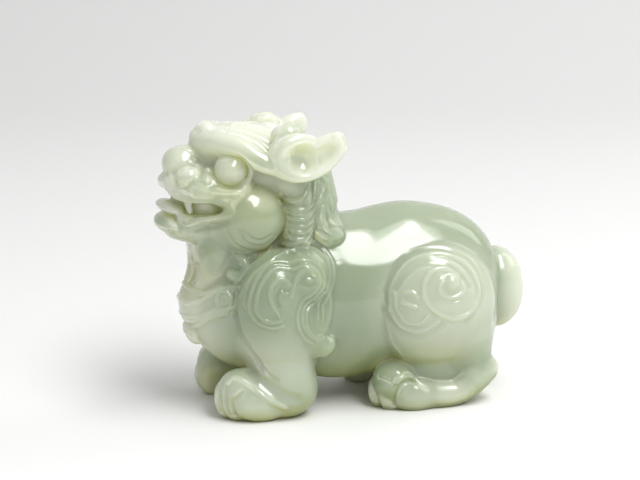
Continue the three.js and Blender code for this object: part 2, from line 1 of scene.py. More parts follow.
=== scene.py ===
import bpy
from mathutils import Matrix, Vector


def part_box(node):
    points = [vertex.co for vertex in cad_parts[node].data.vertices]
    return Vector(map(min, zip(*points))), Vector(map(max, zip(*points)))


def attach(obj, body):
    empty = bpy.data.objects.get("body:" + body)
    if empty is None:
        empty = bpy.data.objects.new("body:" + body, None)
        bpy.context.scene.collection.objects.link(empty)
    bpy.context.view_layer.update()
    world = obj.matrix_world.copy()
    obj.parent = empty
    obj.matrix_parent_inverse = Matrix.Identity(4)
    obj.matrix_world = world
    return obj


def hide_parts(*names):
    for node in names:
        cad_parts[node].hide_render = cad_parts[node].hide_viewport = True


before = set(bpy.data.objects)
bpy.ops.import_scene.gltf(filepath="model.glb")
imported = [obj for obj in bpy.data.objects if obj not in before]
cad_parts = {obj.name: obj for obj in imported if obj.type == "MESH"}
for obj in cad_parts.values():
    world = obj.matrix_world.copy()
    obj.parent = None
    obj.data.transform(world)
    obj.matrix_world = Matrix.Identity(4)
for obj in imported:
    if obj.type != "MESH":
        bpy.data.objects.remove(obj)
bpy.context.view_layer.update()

import math
from concurrent.futures import ThreadPoolExecutor

import bpy
import numpy as np
from mathutils import Euler, Vector

# A jade tea pet: one carved stone. The beast faces -Y, its left side is +X, and it stands on z = 0.
# The carving is worked out in millimetres, from the same forms as the solid, and the finer cuts are
# added to it. The spur and the beard are a little fuller than in the solid. The left half is worked out
# and the right half is its mirror image.

carving = {
    "soleHeight": 1.1,  # mm that are ground off below, so the paws stand flat
    "step": 0.23,  # mm between the points of the carving grid
    "quickStep": 0.45,
    "box": ((0, -47, -0.5), (24, 52, 74)),  # mm, the left half
    "triangles": 196000,
    "raisedEdge": 0.7,  # mm over which the edge of a raised region slopes
    "relief": 1.25,  # how much higher all fine lines are than given
    "lineStep": 0.5,  # mm between the points of a fine line
}
single = np.float32


# Shapes

class Egg:  # an ellipsoid, turned by degrees about x, y and z
    def __init__(self, centre, radii, turn=(0, 0, 0)):
        self.centre = np.array(centre, single)
        self.radii = np.array(radii, single)[:, None]
        self.inverse = np.array(Euler([math.radians(t) for t in turn]).to_matrix(), single).T
        self.reach = float(max(radii))

    def away(self, middle):
        return np.linalg.norm(self.centre - middle) - self.reach

    def distance(self, p, middle, within):  # a rope has a use for the last two, an egg has none
        q = self.inverse @ (p - self.centre[:, None]) / self.radii
        near = np.sqrt((q * q).sum(0))
        q /= self.radii
        slope = np.sqrt((q * q).sum(0))
        return near * (near - 1) / np.maximum(slope, 1e-6)


def alongCurve(points, count):  # places at even steps along a smooth curve through the points
    points = np.array(points, float)
    ends = np.vstack([2 * points[0] - points[1], points, 2 * points[-1] - points[-2]])
    place = np.linspace(0, len(points) - 1, count)
    part = np.minimum(place.astype(int), len(points) - 2)
    t = (place - part)[:, None]
    a, b, c, d = (ends[part + k] for k in range(4))
    ab, bc, cd = (np.linalg.norm(v - u, axis=1)[:, None] ** 0.5 for u, v in ((a, b), (b, c), (c, d)))
    atB = ((b - a) / ab - (c - a) / (ab + bc) + (c - b) / bc) * bc
    atC = ((c - b) / bc - (d - b) / (bc + cd) + (d - c) / cd) * bc
    return b + atB * t + (3 * (c - b) - 2 * atB - atC) * t**2 + (2 * (b - c) + atB + atC) * t**3


class Rope:  # round bars end to end
    def __init__(self, places, radii):
        places = np.array(places, single)
        radii = np.array(radii, single)
        self.start = places[:-1]
        self.along = places[1:] - places[:-1]
        self.squared = np.maximum((self.along**2).sum(1), 1e-9)
        self.radius = radii[:-1]
        self.growth = radii[1:] - radii[:-1]
        self.middles = self.start + self.along / 2
        self.reaches = np.sqrt(self.squared) / 2 + np.maximum(radii[:-1], radii[1:])

    def away(self, middle):
        return float((np.linalg.norm(self.middles - middle, axis=1) - self.reaches).min())

    def distance(self, p, middle, within):  # only right up to this far from the middle
        near = np.linalg.norm(self.middles - middle, axis=1) - self.reaches < within
        d = np.full(p.shape[1], 1e3, single)
        for i in np.nonzero(near)[0]:
            q = p - self.start[i][:, None]
            t = np.clip(self.along[i] @ q / self.squared[i], 0, 1)
            q -= t * self.along[i][:, None]
            d = np.minimum(d, np.sqrt((q * q).sum(0)) - self.radius[i] - self.growth[i] * t)
        return d


def rope(points, radii, parts=None):  # the radii are spread evenly over its length
    parts = parts or 4 * (len(points) - 1)
    even = np.linspace(0, 1, parts + 1)
    return Rope(alongCurve(points, parts + 1), np.interp(even, np.linspace(0, 1, len(radii)), radii))


def bar(a, b, ra, rb):
    return Rope([a, b], [ra, rb])


class Form:  # shapes that are added or cut in turn, each with its own softness of join
    def __init__(self):
        self.steps = []
        self.lines = []

    def add(self, shape, soft):
        self.steps.append((shape, soft, 1, None))

    def cut(self, shape, soft):
        self.steps.append((shape, soft, -1, None))

    def raised(self, region, height, fade):  # lifts a region, from nothing to all between two heights
        self.steps.append((region, 0, 1, (height, *fade)))

    def distance(self, p, middle, radius):  # p lies within the radius of the middle
        d = np.full(p.shape[1], 1e3, single)
        for shape, soft, sign, lift in self.steps:
            worst = float((sign * d).max()) + soft
            if shape.away(middle) - radius > worst:  # too far off to matter here
                continue
            e = shape.distance(p, middle, radius + worst)
            if lift:
                height, low, high = lift
                inside = np.clip(-e / carving["raisedEdge"], 0, 1)
                fade = np.clip((p[2] - low) / (high - low), 0, 1)
                d = d - height * fade * inside * inside * (3 - 2 * inside)
                continue
            a = sign * d
            blend = np.maximum(soft - np.abs(a - e), 0)
            d = sign * (np.minimum(a, e) - blend * blend / (4 * soft))
        for line in self.lines:
            if line.away(middle) < radius:
                d = d - line.height(p, middle, radius)
        return d

    def at(self, p):  # at any points, some at a time
        p = np.asarray(p, single)
        d = np.empty(p.shape[1], single)
        for part in np.array_split(np.arange(p.shape[1]), max(1, p.shape[1] // 4000)):
            middle = p[:, part].mean(1)
            radius = float(np.linalg.norm(p[:, part] - middle[:, None], axis=0).max())
            d[part] = self.distance(p[:, part], middle, radius)
        return d


class Line:  # a fine cut or ridge along a path on the surface
    def __init__(self, places, width, height):
        self.rope = Rope(places, np.zeros(len(places)))
        self.width = width
        self.lift = height

    def away(self, middle):
        return self.rope.away(middle) - self.width

    def height(self, p, middle, radius):
        t = np.minimum(self.rope.distance(p, middle, radius + self.width) / self.width, 1)
        return self.lift * (1 - t * t) ** 2


# The carving, in millimetres, the left half and what crosses the middle

beast = Form()
fineLines = []


def carveBody():  # trunk, chest and neck
    beast.add(Egg((0, 17, 28.2), (17, 23.5, 20.9)), 1)
    beast.add(Egg((5.5, 28.5, 20.5), (11, 11, 10.6)), 3)
    beast.add(Egg((0, 27, 30.5), (15.5, 13.2, 14.5)), 5)
    beast.add(Egg((0, -1, 25.5), (16, 19, 19.3)), 8)
    beast.add(Egg((0, -4, 34), (12, 14, 12)), 5)
    beast.add(Egg((0, -18.5, 26.8), (16, 18.8, 17.6)), 6)
    beast.add(Egg((0, -27, 43.5), (6.5, 8.5, 8)), 2)


def carveHindLeg():  # haunch, foot, heel and toes
    beast.add(Egg((12.5, 21, 25.8), (9.8, 15.6, 15.4)), 1)
    beast.add(Egg((11.4, 22.5, 10.2), (5.5, 10.5, 6)), 2)
    foot = [(14.6, 13, 5), (15.6, 20, 4.1), (15.8, 25.5, 4.2), (15, 30, 6.6), (13.8, 34.4, 8.8),
            (13.2, 36.8, 9.6)]
    beast.add(rope(foot, [4.4, 3.5, 3.2, 3.8, 3, 1.2]), 1)
    beast.add(bar((14, 31, 9.6), (12.6, 29.4, 16), 4.4, 7), 2.5)
    beast.add(Egg((13.4, 10.8, 7.6), (5.6, 5.4, 5.2)), 1)
    beast.add(Egg((9.8, 9.2, 4.8), (2.2, 3.8, 4.6)), 0.4)
    beast.add(Egg((12.2, 8.8, 5), (2.4, 4.1, 4.8)), 0.4)
    beast.add(Egg((14.7, 10.2, 5), (2.6, 3.9, 4.8)), 0.4)
    beast.add(Egg((16.5, 15.6, 4.3), (3, 6, 4.1)), 0.6)


def carveForeleg():  # shoulder, leg, the spur behind it, paw and toes
    beast.add(Egg((9.5, -18.6, 31), (9.6, 10.3, 11)), 1)
    beast.add(Egg((10.2, -11.6, 35), (8.6, 7, 7.4)), 1.5)
    beast.add(bar((10.8, -20, 26), (12.6, -15.4, 8.2), 7.9, 7.1), 3)
    beast.add(Egg((12.4, -14.4, 22), (6, 8, 8)), 4)
    beast.add(rope([(14, -12, 22), (15.4, -9.6, 20), (15.9, -7.9, 18.8)], [4.4, 3.7, 3.1]), 1.5)
    beast.add(bar((12.3, -17.5, 6.9), (12, -26.6, 7.1), 6, 5.4), 2)
    beast.add(Egg((12, -27.2, 8.2), (5.4, 5.2, 4.9)), 1)
    beast.add(Egg((14.6, -21.6, 13.2), (2.8, 2, 2.8)), 1)
    beast.add(Egg((9, -29.2, 5.8), (2.2, 3.7, 4.9)), 0.4)
    beast.add(Egg((11.4, -29.3, 5.9), (2.4, 4, 5)), 0.4)
    beast.add(Egg((13.6, -27.9, 5.8), (2.6, 4.1, 4.8)), 0.4)
    beast.add(Egg((15.2, -22.6, 5.2), (3.6, 7.3, 4.3)), 0.8)


def carveTail():
    beast.add(Egg((0, 41.6, 26.2), (8, 7.2, 10.2)), 0.8)
    beast.add(Egg((3.6, 41.4, 25), (4.2, 6, 8.6), (0, 10, 0)), 0.8)


def carveMane():  # the neck under it, the column behind the cheek and the locks
    beast.add(Egg((0, -11, 50), (13, 10, 13)), 3)
    beast.add(Egg((11.4, -14.6, 57.4), (2.8, 4, 3.4)), 0.5)
    beast.add(rope([(0, -6.5, 60), (0, -5.4, 53), (0, -4, 46.2)], [4, 4.4, 4.6]), 1)
    beast.add(rope([(11, -13, 56), (11.2, -12.6, 49), (11.2, -12.8, 43.4)], [3.4, 3.6, 3.2]), 1)
    innerLock = [(1.5, -6, 58.5), (3.2, -4.4, 54), (3.8, -4.3, 50), (4.6, -3, 46.8), (5.8, -2, 44.6)]
    beast.add(rope(innerLock, [1.8, 2.1, 2.2, 2.2, 2.1]), 0.4)
    middleLock = [(5.6, -7, 58.5), (7, -5.8, 53), (7.6, -5.5, 49), (8, -3.8, 45.6), (8.2, -3.2, 43.6)]
    beast.add(rope(middleLock, [2, 2.2, 2.3, 2.3, 2.4]), 0.4)
    outerLock = [(9.4, -9, 57.5), (10.4, -8, 52), (10.8, -7.9, 48), (10.6, -6.6, 44.8), (9.8, -5, 43)]
    beast.add(rope(outerLock, [2, 2.1, 2.2, 2.2, 2.3]), 0.4)
    beast.add(Egg((8.6, -4.4, 43.2), (3.6, 3.9, 3.2)), 0.4)


def carveSkull():  # head, cheek, muzzle and lower jaw
    beast.add(Egg((0, -19.5, 60), (13, 13.5, 9.6)), 2)
    beast.add(Egg((0, -24.5, 62.5), (12.5, 10.4, 7)), 2)
    beast.add(Egg((0, -28.2, 65.4), (10.3, 6.2, 4.2)), 2)
    beast.add(Egg((8.8, -24.1, 49.4), (8.4, 8.6, 8.7)), 1)
    beast.add(Egg((0, -33.2, 57.9), (11.3, 8.4, 4.5)), 1.5)
    beast.add(bar((7.4, -27.5, 48), (5.2, -36.4, 47.4), 6.4, 4.4), 2.5)
    beast.add(Egg((0, -38.6, 46.8), (8.2, 4.6, 4)), 1.5)
    beast.add(Egg((0, -41.2, 47.3), (7.8, 3.5, 2.4)), 0.5)


def carveMouth():  # the gap, tongue, lips and fang
    beast.cut(Egg((8.6, -36.6, 52), (7, 5.4, 1.9)), 0.5)
    beast.cut(Egg((12, -32.8, 52), (4, 2.2, 1.6)), 0.5)
    beast.add(bar((0, -30, 51.6), (0, -38.4, 52), 3.4, 2.6), 0.4)
    beast.add(Egg((4, -32.6, 52), (6.2, 5.2, 3.4)), 0.6)
    beast.add(Egg((0, -40.9, 50.9), (7.4, 3.3, 1.5), (-12, 0, 0)), 0.3)
    lips = [(0, -40.9, 57), (4, -41.2, 56.6), (7.4, -40.2, 55.3), (10, -37.8, 54.9), (12, -34.6, 54.8),
            (13.5, -31.4, 54.4), (14.2, -29.9, 52.8), (13.7, -31, 50.9), (12.5, -33.2, 50),
            (10.9, -35.8, 49.5), (9, -38.3, 48.7), (7.3, -40, 49.7)]
    beast.add(rope(lips, [2, 1.9, 1.6, 1.3, 1.1, 0.9, 0.7, 0.6, 0.55, 0.55, 0.6, 0.8]), 1.2)
    beast.add(rope([(8.6, -38.8, 55), (8.5, -38.5, 53), (8.4, -38, 51.2)], [1, 0.8, 0.7]), 0.3)


def carveNose():  # nose, the hollow beside it, the flesh under the eye and the nostril
    beast.add(bar((0, -30, 62), (0, -37, 61.4), 4.2, 3.7), 1.5)
    beast.add(Egg((0, -38.4, 61.1), (4.8, 4.3, 4.2)), 1)
    beast.cut(Egg((9.6, -34.6, 62.6), (3.4, 3.4, 2.9)), 1.2)
    beast.add(Egg((7.6, -33.2, 55.8), (4.8, 6, 2.7)), 2)
    beast.add(Egg((11.3, -28.4, 55.2), (4, 5, 3.4)), 1.5)
    beast.add(Egg((7, -37.8, 59.1), (3, 3.1, 2.5)), 0.3)
    beast.add(Egg((8.3, -39.2, 57.9), (1.4, 1.5, 1.3)), 0.15)


def carveBrow():  # brow, socket, eye, lid, the knob on the forehead and the horn
    brow = [(1.6, -33.6, 66.4), (4, -32.8, 66.6), (8, -30.6, 66.9), (12, -27.4, 66.2), (14.6, -24.6, 64.4),
            (16, -21.6, 62.8), (16.4, -18.5, 61.4)]
    beast.add(rope(brow, [2, 2.4, 2.6, 2.5, 2.4, 2.3, 1.8]), 2)
    beast.cut(Egg((14.7, -29.7, 60.8), (3.7, 5, 4.4)), 1)
    beast.add(Egg((10.7, -28.5, 60.9), (3.9, 4, 4)), 0.15)
    lid = [(8, -33.6, 60.6), (9.3, -32.6, 58.6), (10.6, -31.2, 57.2), (12, -29.2, 56.7),
           (13.2, -26.9, 57.3), (13.8, -25, 59.2), (14, -24.6, 61.4), (13.6, -25.2, 63.2)]
    beast.add(rope(lid, [0.7, 0.6, 0.6, 0.6, 0.6, 0.6, 0.5, 0.5]), 0.7)
    beast.add(Egg((1.9, -32.1, 68.9), (2.2, 2, 1.9)), 0.5)
    beast.add(Egg((11, -15, 68), (2.8, 3.6, 3.1)), 0.5)


def carveEar():  # root, leaf, rim and the scoops in both
    beast.add(Egg((14.6, -14.8, 64), (4, 5.6, 5.2)), 1)
    beast.add(Egg((16.6, -8.2, 64.4), (2.1, 6.6, 3.9), (41, 0, 0)), 1)
    rim = [(16.6, -10.9, 67.7), (17.1, -14, 68.1), (17, -17.4, 66.9), (16.7, -19.1, 64.4),
           (16.9, -18.3, 61.8), (17.3, -15.2, 60.1), (17.6, -11.6, 60.1), (17.9, -8.4, 61.5),
           (18, -5.6, 64), (17.8, -4.1, 66.6), (17.4, -4.7, 68.2)]
    beast.add(rope(rim, [1.4, 1.6, 2.1, 2.3, 2.2, 1.8, 1.5, 1.5, 1.5, 1.6, 1.6]), 0.5)
    beast.cut(Egg((20, -12.9, 63.9), (4.2, 4, 3.8)), 0.6)
    beast.cut(Egg((20.4, -8.6, 64.7), (3.3, 4.2, 2.6), (41, 0, 0)), 0.6)


def carveBeard():  # locks and a comma curl
    beast.add(rope([(0, -31.6, 43.5), (0, -33.4, 38.5), (0, -35.7, 32.8)], [3.2, 3, 2.1]), 2)
    beast.add(Egg((4.8, -31.7, 40.4), (6.4, 4.4, 5.8)), 2.5)
    beast.add(rope([(6.6, -32, 38), (5.8, -33.6, 34.6), (4.4, -35, 32.4)], [3, 2.3, 1.5]), 1.6)
    beast.add(Egg((9, -25.6, 38), (3.4, 4, 5.4)), 2)
    comma = [(11.6, -27.6, 40.5), (12.3, -26.2, 39.3), (12.6, -25.7, 37.7), (12.4, -26.3, 36.2),
             (11.7, -27.9, 35.7), (11.2, -28.9, 36.2)]
    beast.add(rope(comma, [0.7, 1.1, 1.4, 1.5, 1.5, 1.3]), 0.3)


def carveRibbon():  # the band over the chest and the pendant
    middle = [(0, -38.5, 26.8), (5, -37, 26.9), (8, -35, 27.6), (10.4, -31.8, 29.6)]
    beast.raised(rope(middle, [4.8, 4.2, 3.8, 3.9]), 0.4, (0, 1))
    beast.add(Egg((0, -35.7, 27.3), (7, 3.5, 5.2)), 1.2)
    beast.add(Egg((0, -35.8, 19.8), (3.4, 2, 3.2), (25, 0, 0)), 0.8)


def carveScrolls():  # what the scrolls are cut in, and the ball in the haunch coil
    beast.raised(Egg((14, -16.9, 28), (10, 11.9, 14.6)), 0.7, (14, 25))
    beast.raised(Egg((16, 19, 26.2), (12, 11.8, 12.9)), 0.6, (16, 28))
    beast.add(Egg((20.2, 22.4, 32.7), (2.5, 2.5, 2.5)), 0.3)


# Fine lines, given flat and then laid down onto the stone from the side, front, top or back

fromSide = (-1, 0, 0)
fromFront = (0, 1, 0)
fromAbove = (0, 0, -1)
fromBehind = (0, -1, 0)
lineStarts = {fromSide: 27, fromFront: -49, fromAbove: 76, fromBehind: 8}  # mm, clear of what is lined


def fineLine(points, way, width, height):  # (y, z) from the side, (x, y) from above, else (x, z)
    axis = [abs(w) for w in way].index(1)
    placed = np.array([(*p[:axis], lineStarts[way], *p[axis:]) for p in points], float)
    length = np.linalg.norm(np.diff(placed, axis=0), axis=1).sum()
    places = alongCurve(placed, math.ceil(length / carving["lineStep"]) + 2)
    fineLines.append((places, way, width, height * carving["relief"]))


def ridge(points, way=fromSide, width=0.65, height=0.55):
    fineLine(points, way, width, height)


def groove(points, way=fromSide, width=0.7, height=0.5):
    fineLine(points, way, width, -height)


def doubleRidge(points, way=fromSide, gap=1.3, width=0.65, height=0.6):  # two lines side by side
    line = alongCurve([(*p, 0) for p in points], 8 * len(points))[:, :2]
    along = np.gradient(line, axis=0)
    across = np.stack([-along[:, 1], along[:, 0]], axis=1) / np.linalg.norm(along, axis=1)[:, None]
    for side in (-0.5, 0.5):
        fineLine(line + side * gap * across, way, width, height)


def coil(centre, startAngle, radii):  # a spiral on the side, by its radius at each eighth of a turn
    places = alongCurve([(i, r, 0) for i, r in enumerate(radii)], 3 * len(radii) - 2)
    angles = np.radians(startAngle - 45 * places[:, 0])
    return [(centre[0] + r * math.cos(a), centre[1] + r * math.sin(a))
            for r, a in zip(places[:, 1], angles)]


def ring(centre, across, up):  # an oval round the centre
    return [(centre[0] + across * math.cos(a), centre[1] + up * math.sin(a))
            for a in np.linspace(0, 2 * math.pi, 9)]


def lineHaunch():
    radii = (15.5, 10.9, 7.3, 6.1, 6.7, 8.1, 8.4, 7.4, 7.2, 6.1, 4.2, 3, 3, 3.3, 3.2, 3.2, 3.3, 2.4)
    groove(coil((22.2, 32.6), 202, [r + 1.1 for r in radii[:7]]), width=1.1, height=0.35)
    ridge(coil((22.2, 32.6), 202, radii), width=0.8, height=0.75)
    groove([(9, 31.8), (11.2, 34.9), (15.1, 37.5), (19.5, 37.9), (22.5, 36.8), (27.2, 32.1)],
           width=1.4, height=0.6)
    groove([(24.9, 34.2), (25.2, 31.2), (22.8, 29.2), (19.9, 30)], width=0.9)
    ridge([(11, 31.3), (12.8, 31.1), (13.8, 29.8)])
    ridge([(10.3, 28.6), (13.3, 27.7)])
    ridge([(8.9, 30.9), (9.3, 26.9), (11.5, 23.9), (14.4, 23.7), (16.2, 25.7)])
    ridge([(7.8, 26.3), (10, 23), (13, 21.7), (15.9, 22.2), (18.4, 24.1)], height=0.3)
    groove([(7.3, 25), (9.6, 21.7), (13, 20.2), (17, 21), (19.6, 23)], width=1.2, height=0.25)
    ridge([(6.7, 30), (7.4, 24), (9, 18.6), (11.8, 14.6)], width=0.7, height=0.3)


def lineShoulder():
    outer = [(-28.5, 31.9), (-27.7, 33.8), (-25.4, 37.1), (-21.8, 40), (-18.1, 41.6), (-14, 42.6),
             (-10, 42.5), (-6.9, 40.6), (-5.3, 37.4), (-5.6, 34.6), (-7, 31.1), (-8.7, 29.2), (-9.1, 25.5)]
    doubleRidge(outer)
    ridge([(-26.8, 29.1), (-27, 32.1), (-25.6, 36), (-22.5, 38.9), (-19.2, 40.6)], height=0.35)
    inner = [(-19.1, 25.7), (-21.5, 25.3), (-24, 26.4), (-25.4, 29), (-25, 33), (-22.7, 37), (-19.9, 39),
             (-16, 38.7), (-13.1, 39.3), (-10.6, 38.6), (-8.9, 36.5), (-8.9, 34.1), (-10.4, 31.8),
             (-12.9, 30.2), (-14.5, 27.5), (-14.2, 24.4), (-12.6, 21.8), (-11.2, 20.8)]
    doubleRidge(inner)
    ridge([(-16.9, 34.8), (-18.3, 36), (-20.1, 35.7), (-21.6, 33.6), (-21.3, 30.6), (-19.5, 27.4)])
    groove([(-17.6, 33.4), (-19, 34), (-20, 32.6), (-19.6, 30)], width=1, height=0.3)
    ridge([(-16.6, 31.5), (-15.6, 35), (-14, 37.4), (-12.1, 38), (-10.6, 36.6)])
    groove([(-13, 36.4), (-10.9, 36), (-11, 34.6), (-13, 34.5), (-13.9, 35.4), (-13, 36.4)], height=0.3)
    ridge([(-8.2, 31.6), (-10.4, 29.6), (-12.4, 27.8), (-12.8, 25.2), (-11.4, 22.4), (-9.7, 20.6)])
    groove([(-9.8, 22.6), (-7.9, 22.2), (-6.4, 21.4)], height=0.3)


def lineFeet():
    groove([(-28.6, 27), (-27.6, 22.4), (-25.4, 18.4), (-23.6, 15.4), (-23.2, 13.6)], width=1.2, height=0.7)
    groove([(-23, 14.6), (-21.4, 12.6), (-19.8, 11.4)], width=0.7, height=0.4)
    ridge([(9.2, 8.6), (10.6, 9.6), (12.4, 10.2), (14.2, 9.3), (15.8, 7.7), (17.2, 6.6)],
          width=1, height=0.8)
    groove([(9.7, 2.4), (9.6, 5.4), (10.6, 7.9), (12.8, 8.8), (14.8, 8)], width=0.7, height=0.6)
    groove([(6.2, 9.6), (7.6, 9.4), (9.4, 8.2)], width=0.6, height=0.5)
    ridge([(-31, 10.6), (-29.6, 11.9), (-27.8, 11.6), (-25.8, 10.4), (-24, 8.8), (-21.8, 6.9),
           (-18, 4.8)], width=0.9, height=0.7)
    groove([(-25.4, 12.8), (-23, 11.4), (-20.6, 9.4), (-18, 7.8), (-15.2, 6.8)], width=2, height=0.4)
    groove([(-28.2, 9.1), (-30.2, 6.5), (-29.4, 3)], width=0.8, height=0.45)
    for x in (12.4, 14.9):
        groove([(x - 0.1, 10.6), (x + 0.1, 7), (x - 0.2, 3)], fromFront, 0.9, 0.45)


def lineMane():
    ridge([(-17.3, 55), (-15.8, 53.8), (-13.6, 53.5), (-11.9, 54.3), (-10.6, 56.4), (-9.6, 59)])
    ridge([(-17.9, 53.5), (-16.7, 52.3), (-14.6, 51.4), (-12.1, 51.2), (-10, 52), (-8.6, 54), (-8, 57)])
    ridge([(-16.1, 51.4), (-13.3, 50.1), (-10.6, 50.2), (-8.8, 51.2), (-7.5, 52.9)], height=0.45)
    ridge([(-15.4, 49.6), (-14.1, 49), (-12.4, 48.9), (-10.8, 49.4), (-9.4, 50.6)], height=0.5)
    ridge([(-15.4, 47.9), (-13.6, 47.3), (-11.8, 47.3), (-10.2, 48), (-9.3, 49.3)], height=0.35)
    ridge([(-15.4, 47), (-13.6, 45.9), (-11.8, 45.8), (-10.4, 46.5), (-9.5, 47.9)])
    ridge([(-15.4, 45.2), (-13.9, 44.2), (-12.4, 44), (-10.6, 44.8), (-9.3, 46.6)])
    ridge([(-16.4, 43.7), (-15.3, 42.7), (-13.3, 42.3), (-11.2, 42.5), (-10, 43.7)])
    ridge([(-5.2, 56.2), (-7, 53.8), (-8.4, 51.4)], height=0.5)
    ridge([(-4.2, 54.6), (-5.6, 52.6), (-6.4, 50.6)], height=0.5)
    ridge([(-6.9, 51.2), (-7.1, 48.5), (-6.1, 46.1), (-4.2, 44)], height=0.5)
    ridge([(-5.2, 49.9), (-4.2, 47.8), (-2.2, 46.1)], height=0.5)
    ridge([(-8, 45.4), (-6.4, 44.2), (-4.2, 43.4), (-2, 43.8)])
    groove([(-8.4, 46.4), (-6.8, 45.4), (-4.6, 44.6)], height=0.3)


def lineNape():
    for i, top in enumerate((67, 66.6, 65.8, 64.6)):
        x = 1.3 + 2.4 * i
        ridge([(0.85 * x, top), (x + 0.5, top - 4), (x - 0.3, 58 - 0.4 * i), (x + 0.7, 54 - 0.3 * i),
               (x - 0.2, 50.6 - 0.2 * i)], fromBehind, 1.1, 0.8)
        ridge([(x, -17), (x + 0.4, -13), (0.9 * x, -9)], fromAbove, 1.1, 0.7)
    for i in range(3):
        x = 2.6 + 2.4 * i
        ridge([(x + 0.3, 59.5), (x - 0.2, 56), (x + 0.4, 52.4)], fromBehind, 0.6, 0.35)


def lineHead():
    for i in range(5):
        shift = 2.3 * i
        ridge([(0.6 + shift, -25.6 - 0.7 * i), (2.6 + shift, -21.6 - 0.6 * i),
               (5.2 + shift, -18.4 - 0.5 * i), (7.4 + 0.8 * shift, -16.4 - 0.5 * i)], fromAbove, 1, 0.75)
    ridge([(6.4, -30.4), (8.2, -28.4), (10.6, -26.4), (12.6, -24.6), (13.8, -22.6)], fromAbove, 0.8, 0.6)
    ridge([(4.2, -30.6), (5.6, -28.6), (7.8, -27), (10, -25.4)], fromAbove, 0.6, 0.4)
    for x, y in ((2.2, -30.2), (3.6, -31), (5.6, -31.6), (7.6, -30.6)):
        ridge([(x, y), (x + 1.2, y + 1), (x + 1.5, y + 2.2), (x + 0.6, y + 2.8)], fromAbove, 0.6, 0.5)
    for y, z in ((-38, 64.9), (-37, 64.6), (-36.2, 63.8)):
        ridge([(y, z), (y + 1, z - 0.4), (y + 1.8, z - 1.4)], width=0.5, height=0.35)
    ridge([(-41.6, 59.6), (-41.2, 57.6), (-39.9, 55.9), (-38.4, 55.4)], width=0.8, height=0.3)
    groove([(-30.4, 49.2), (-32.6, 48.1), (-35.2, 47.4), (-38, 46.8), (-40.4, 47.2)], width=1, height=0.2)
    ridge([(-37.4, 57.3), (-35.2, 56.8), (-31.4, 56.2), (-27.4, 56.5), (-24.7, 57.8)],
          width=1.5, height=0.4)
    groove(ring((-29.3, 61), 2.1, 2.1), width=0.9, height=0.12)
    ridge([(-40.4, 49.4), (-39.6, 47.9), (-37, 48.2), (-33.8, 49.6), (-30.4, 50.6), (-29.2, 52),
           (-29.6, 53.8)], width=0.9, height=0.2)
    ridge([(-37, 62), (-35.4, 61.2), (-34.4, 59.8), (-34.4, 58.2)], width=1, height=0.35)
    groove([(-30.6, 47.4), (-28.9, 44.4), (-26.2, 42.5), (-22.8, 41.6), (-19.4, 42), (-17.2, 44)],
           height=0.3)
    groove([(-28.2, 47.6), (-26.8, 44.9), (-23.4, 43.3), (-20.2, 43.9), (-18, 46)], height=0.25)
    groove([(-26.8, 47.2), (-25, 45.4), (-22.6, 44.8), (-20.4, 45.8)], height=0.25)


def lineChest():
    upperEdge = [(0, 32.2), (2.4, 31.6), (4.8, 31.2), (8.4, 31), (10.4, 32.2), (12.5, 33.3), (14.4, 33.6)]
    lowerEdge = [(0, 29), (4, 28), (6.3, 28.7), (8.6, 30.5), (10.4, 32.3), (12, 33.2), (13.6, 31.9),
                 (13.7, 29.6), (12.4, 28), (10.6, 27.8)]
    ridge(upperEdge, fromFront, 0.75, 0.85)
    ridge(lowerEdge, fromFront, 0.75, 0.85)
    for drop in (0, 1.5, 3.4):
        ridge([(0, 24.6 - 0.9 * drop), (4.3, 24.7 - 0.7 * drop), (8, 25.9 - 0.5 * drop),
               (9.9, 27.2 - 0.4 * drop), (12.4, 28 - 0.3 * drop)], fromFront, 0.75, 0.7)
    for radius in (0.8, 2.1):
        ridge(ring((-30.9, 30.2), 0.7 * radius, radius), width=0.7, height=0.7)
    ridge([(5.2, 37.4), (4.8, 35.4), (3.2, 32.8)], fromFront, 0.7, 0.5)
    groove([(6.2, 39), (5.4, 36.6), (4, 33.6)], fromFront, 1.4, 0.3)
    ridge([(2, 38), (2.1, 36), (1.6, 33)], fromFront, 0.7, 0.4)
    ridge([(0.2, 21.3), (1.7, 19.8), (2.7, 18.2), (2.1, 17)], fromFront, 0.6, 0.4)


def layFineLines():  # moves all lines up to the stone at once
    counts = [len(places) for places, _, _, _ in fineLines]
    places = np.vstack([places for places, _, _, _ in fineLines])
    ways = np.repeat([way for _, way, _, _ in fineLines], counts, axis=0)
    for _ in range(40):  # enough steps for the last of them to come to rest
        places += ways * np.minimum(beast.at(places.T), 6)[:, None] * 0.8
    parts = np.split(places, np.cumsum(counts)[:-1])
    beast.lines = [Line(part, width, height) for part, (_, _, width, height) in zip(parts, fineLines)]


# From the form to a mesh

